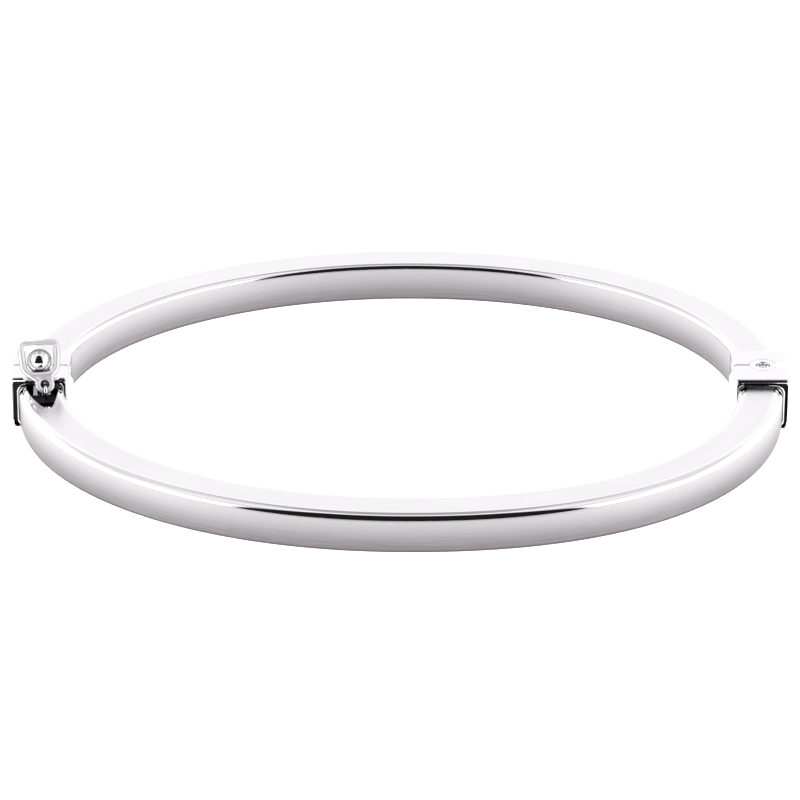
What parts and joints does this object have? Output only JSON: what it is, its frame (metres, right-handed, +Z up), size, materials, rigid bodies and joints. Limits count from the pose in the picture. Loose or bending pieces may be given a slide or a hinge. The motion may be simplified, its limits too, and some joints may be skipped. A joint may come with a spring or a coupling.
{
  "type": "hinged bangle bracelet",
  "caption": "Oval hinged bangle of satin-faced square tube with polished edges, collar blocks, pin hinge, ball thumb-piece box clasp and figure-eight safety catch.",
  "frame": {"origin": "centre of the bounding box at its underside, which is the plane of the four collars' undersides", "axes": "+Z up out of the plane of the lying bangle, +X towards the hinge, -X towards the clasp, -Y the half that carries the safety catch"},
  "size_m": [0.068, 0.0538, 0.0081],
  "materials": {
    "satin_metal": "white metal, satin brushed along the ring on the inner and outer faces, polished on the edges, top and underside",
    "polished_metal": "mirror polished white metal",
    "pin_metal": "polished white metal, slightly darker pin end",
    "spring_metal": "plain rolled white metal"
  },
  "bodies": {
    "back_half": {"back_tube": "satin_metal", "back_hinge_collar": "polished_metal", "back_hinge_flange": "polished_metal", "back_clasp_collar": "polished_metal", "back_clasp_flange": "polished_metal", "hinge_knuckle_bottom": "polished_metal", "hinge_knuckle_top": "polished_metal", "hinge_pin": "pin_metal", "tongue_base": "spring_metal"},
    "front_half": {"front_tube": "satin_metal", "front_hinge_collar": "polished_metal", "front_hinge_flange": "polished_metal", "front_clasp_collar": "polished_metal", "front_clasp_flange": "polished_metal", "hinge_knuckle_middle": "polished_metal", "shoulder_inner": "polished_metal", "shoulder_outer": "polished_metal", "catch_staple": "polished_metal", "catch_seat": "polished_metal"},
    "thumb_piece": {"tongue_leaf": "spring_metal", "thumb_stem": "polished_metal", "thumb_ball": "polished_metal"},
    "catch": {"safety_catch": "polished_metal"}
  },
  "joints": [
    {"name": "main_hinge", "type": "hinge", "parent": "back_half", "child": "front_half", "pos_m": [0.0317, 0.00057, 0.00245], "axis": [0, 0, 1], "range_deg": [0, 30]},
    {"name": "thumb_press", "type": "hinge", "parent": "back_half", "child": "thumb_piece", "pos_m": [-0.0312, -0.00373, 0.00205], "axis": [-1, 0, 0], "range_deg": [0, 4.5], "stiffness_Nm_per_rad": 0.05},
    {"name": "catch_swing", "type": "hinge", "parent": "front_half", "child": "catch", "pos_m": [-0.0307, -0.00363, 0.00439], "axis": [-0.9903, -0.1392, 0], "range_deg": [-120, 12]}
  ]
}
